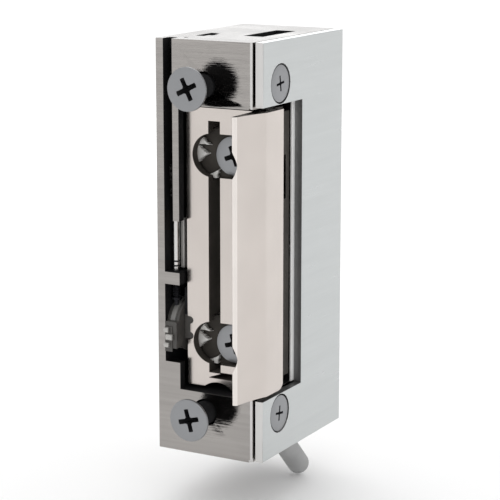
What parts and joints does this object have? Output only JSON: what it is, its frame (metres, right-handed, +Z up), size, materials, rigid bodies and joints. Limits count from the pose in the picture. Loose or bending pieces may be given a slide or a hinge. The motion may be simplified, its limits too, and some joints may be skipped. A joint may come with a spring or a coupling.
{
  "type": "electric door strike",
  "caption": "Electric door strike with a steel case, swinging keeper, adjustable strike lip, coil-driven lock and manual release.",
  "frame": {"origin": "centre of the case's front face, where the faceplate lies", "axes": "+X towards the cover plate, +Y back into the door frame, +Z up along the case's length"},
  "size_m": [0.019, 0.0332, 0.0741],
  "materials": {
    "case_steel": "horizontally brushed stainless steel",
    "cover_steel": "finely brushed, paler",
    "lip_steel": "satin nickel plated",
    "insert_steel": "bright, with pressed serrations",
    "dark_casting": "dark brown phosphated casting",
    "screw_zinc": "grey zinc plated",
    "axle_steel": "ground",
    "spring_steel": "drawn wire",
    "release_dark": "dark grey moulding",
    "release_light": "pale pressed steel",
    "soft_iron": "zinc plated soft iron",
    "copper_wire": "enamelled copper winding",
    "bobbin_nylon": "ivory moulded nylon",
    "terminal_nylon": "black moulded nylon",
    "brass": "plain brass",
    "wire_red": "red insulation",
    "wire_black": "black insulation",
    "grey_moulding": "mid grey soft moulding"
  },
  "bodies": {
    "frame": {"case": "case_steel", "cover_plate": "cover_steel", "cover_screw_top": "screw_zinc", "cover_screw_bottom": "screw_zinc", "mounting_screw_top": "screw_zinc", "mounting_screw_bottom": "screw_zinc", "keeper_axle": "axle_steel", "lever_axle": "axle_steel", "knob_axle": "axle_steel", "armature_axle": "axle_steel", "coil_bobbin": "bobbin_nylon", "coil_winding": "copper_wire", "coil_core": "soft_iron", "magnet_yoke": "soft_iron", "yoke_screw": "screw_zinc", "terminal_block": "terminal_nylon", "terminal_clamp_left": "brass", "terminal_clamp_right": "brass", "terminal_screw_left": "screw_zinc", "terminal_screw_right": "screw_zinc", "lead_wire_red": "wire_red", "lead_wire_black": "wire_black", "outlet_tongue": "grey_moulding", "plunger_guide": "release_light", "release_comb": "release_dark", "armature_spring": "spring_steel"},
    "keeper": {"keeper_base": "dark_casting", "keeper_bush_top": "dark_casting", "keeper_bush_bottom": "dark_casting", "keeper_spring": "spring_steel", "lip_screw_top": "screw_zinc", "lip_screw_bottom": "screw_zinc", "lock_washer_top": "spring_steel", "lock_washer_bottom": "spring_steel"},
    "lip": {"keeper_lip": "lip_steel", "clamp_insert_top": "insert_steel", "clamp_insert_bottom": "insert_steel"},
    "lever": {"locking_lever": "soft_iron", "lever_spring": "spring_steel"},
    "armature": {"armature_plate": "soft_iron", "armature_finger": "soft_iron", "armature_rivet": "axle_steel"},
    "knob": {"release_knob": "release_dark", "release_pad": "release_light"},
    "plunger": {"plunger_pin": "axle_steel", "plunger_clip": "spring_steel", "plunger_spring": "spring_steel"}
  },
  "joints": [
    {"name": "keeper_swing", "type": "hinge", "parent": "frame", "child": "keeper", "pos_m": [0.00566, 0.0096, 0], "axis": [0, 0, 1], "range_deg": [0, 45], "stiffness_Nm_per_rad": 0.015, "springref_deg": -17.19},
    {"name": "lip_adjust", "type": "slide", "parent": "keeper", "child": "lip", "axis": [1, 0, 0], "range_m": [0, 0.002]},
    {"name": "lever_turn", "type": "hinge", "parent": "frame", "child": "lever", "pos_m": [0.005, 0.0215, -0.003], "axis": [0, 0, 1], "range_deg": [-30, 0]},
    {"name": "armature_tilt", "type": "hinge", "parent": "frame", "child": "armature", "pos_m": [0.0072, 0.02055, 0.0045], "axis": [0, -1, 0], "range_deg": [0, 6], "stiffness_Nm_per_rad": 0.003, "springref_deg": -1.72},
    {"name": "knob_turn", "type": "hinge", "parent": "frame", "child": "knob", "pos_m": [-0.0059, 0.0046, -0.013], "axis": [-1, 0, 0], "range_deg": [0, 30]},
    {"name": "plunger_lift", "type": "slide", "parent": "frame", "child": "plunger", "axis": [0, 0, 1], "range_m": [0, 0.0006], "deforming": ["plunger_spring"]}
  ],
  "couplings": [
    {"joint": "lever_turn", "follows": "keeper_swing", "ratio": -0.6666},
    {"joint": "knob_turn", "follows": "plunger_lift", "rad_per_m": 872.6}
  ]
}
